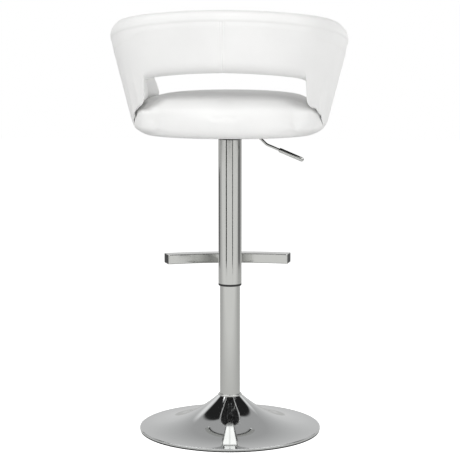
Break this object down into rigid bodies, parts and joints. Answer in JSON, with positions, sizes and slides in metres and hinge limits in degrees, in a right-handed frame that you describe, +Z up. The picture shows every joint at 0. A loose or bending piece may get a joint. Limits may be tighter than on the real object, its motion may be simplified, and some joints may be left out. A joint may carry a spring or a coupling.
{
  "type": "bar stool",
  "caption": "Height-adjustable swivel bar stool: trumpet base, telescoping column with T footrest, round padded seat and a flared wrap-around back with an open slot.",
  "frame": {"origin": "on the floor, at the column's axis", "axes": "+Z up along the column, +Y the way a sitter faces (towards the footrest), +X the side of the height lever, which is a sitter's right"},
  "size_m": [0.577, 0.506, 1.041],
  "materials": {
    "chrome": "polished",
    "steel": "satin",
    "black_steel": "satin",
    "black_plastic": "matte",
    "rubber": "matte",
    "cage_brass": "satin",
    "ply": "matte",
    "upholstery": "satin",
    "dust_cloth": "matte"
  },
  "bodies": {
    "base": {"base_trumpet": "chrome", "floor_ring": "rubber", "ballast_disc": "steel", "neck_ring": "chrome", "column_tube": "chrome", "column_flange": "black_steel", "flange_bolts": "steel", "column_foot": "black_steel", "guide_bush": "black_plastic", "bearing_lower_washer": "steel", "bearing_cage": "cage_brass", "bearing_balls": "steel"},
    "rod": {"bearing_upper_washer": "steel", "rod_clip": "steel", "piston_rod": "chrome", "rod_buffer": "rubber", "piston": "steel"},
    "seat": {"gas_cylinder": "black_steel", "rod_seal": "rubber", "footrest_sleeve": "chrome", "sleeve_lower_ring": "black_plastic", "sleeve_upper_ring": "black_plastic", "footrest_stem": "chrome", "footrest_crossbar": "chrome", "footrest_end_caps": "black_plastic", "mounting_plate": "black_steel", "taper_socket": "black_steel", "lever_bracket": "black_steel", "lever_pin": "steel", "plate_bolts": "steel", "tee_nuts": "steel", "dust_cover": "dust_cloth", "seat_board": "ply", "side_blocks": "ply", "seat_cushion": "upholstery", "back_bolts": "steel", "back_shell": "ply", "back_outer_pad": "upholstery", "back_inner_pad": "upholstery"},
    "lever": {"lever_tongue": "steel", "lever_rod": "chrome", "lever_grip": "chrome"},
    "release": {"release_pin": "chrome"}
  },
  "joints": [
    {"name": "swivel", "type": "hinge", "parent": "base", "child": "rod", "pos_m": [0, 0, 0.03], "axis": [0, 0, 1], "continuous": true},
    {"name": "lift", "type": "slide", "parent": "rod", "child": "seat", "axis": [0, 0, 1], "range_m": [-0.21, 0]},
    {"name": "lever", "type": "hinge", "parent": "seat", "child": "lever", "pos_m": [0.025, 0, 0.7323], "axis": [0, -1, 0], "range_deg": [0, 6], "stiffness_Nm_per_rad": 1.5, "springref_deg": -4.01},
    {"name": "release", "type": "slide", "parent": "seat", "child": "release", "axis": [0, 0, 1], "range_m": [-0.003, 0]}
  ],
  "couplings": [
    {"joint": "release", "follows": "lever", "m_per_rad": -0.025}
  ]
}
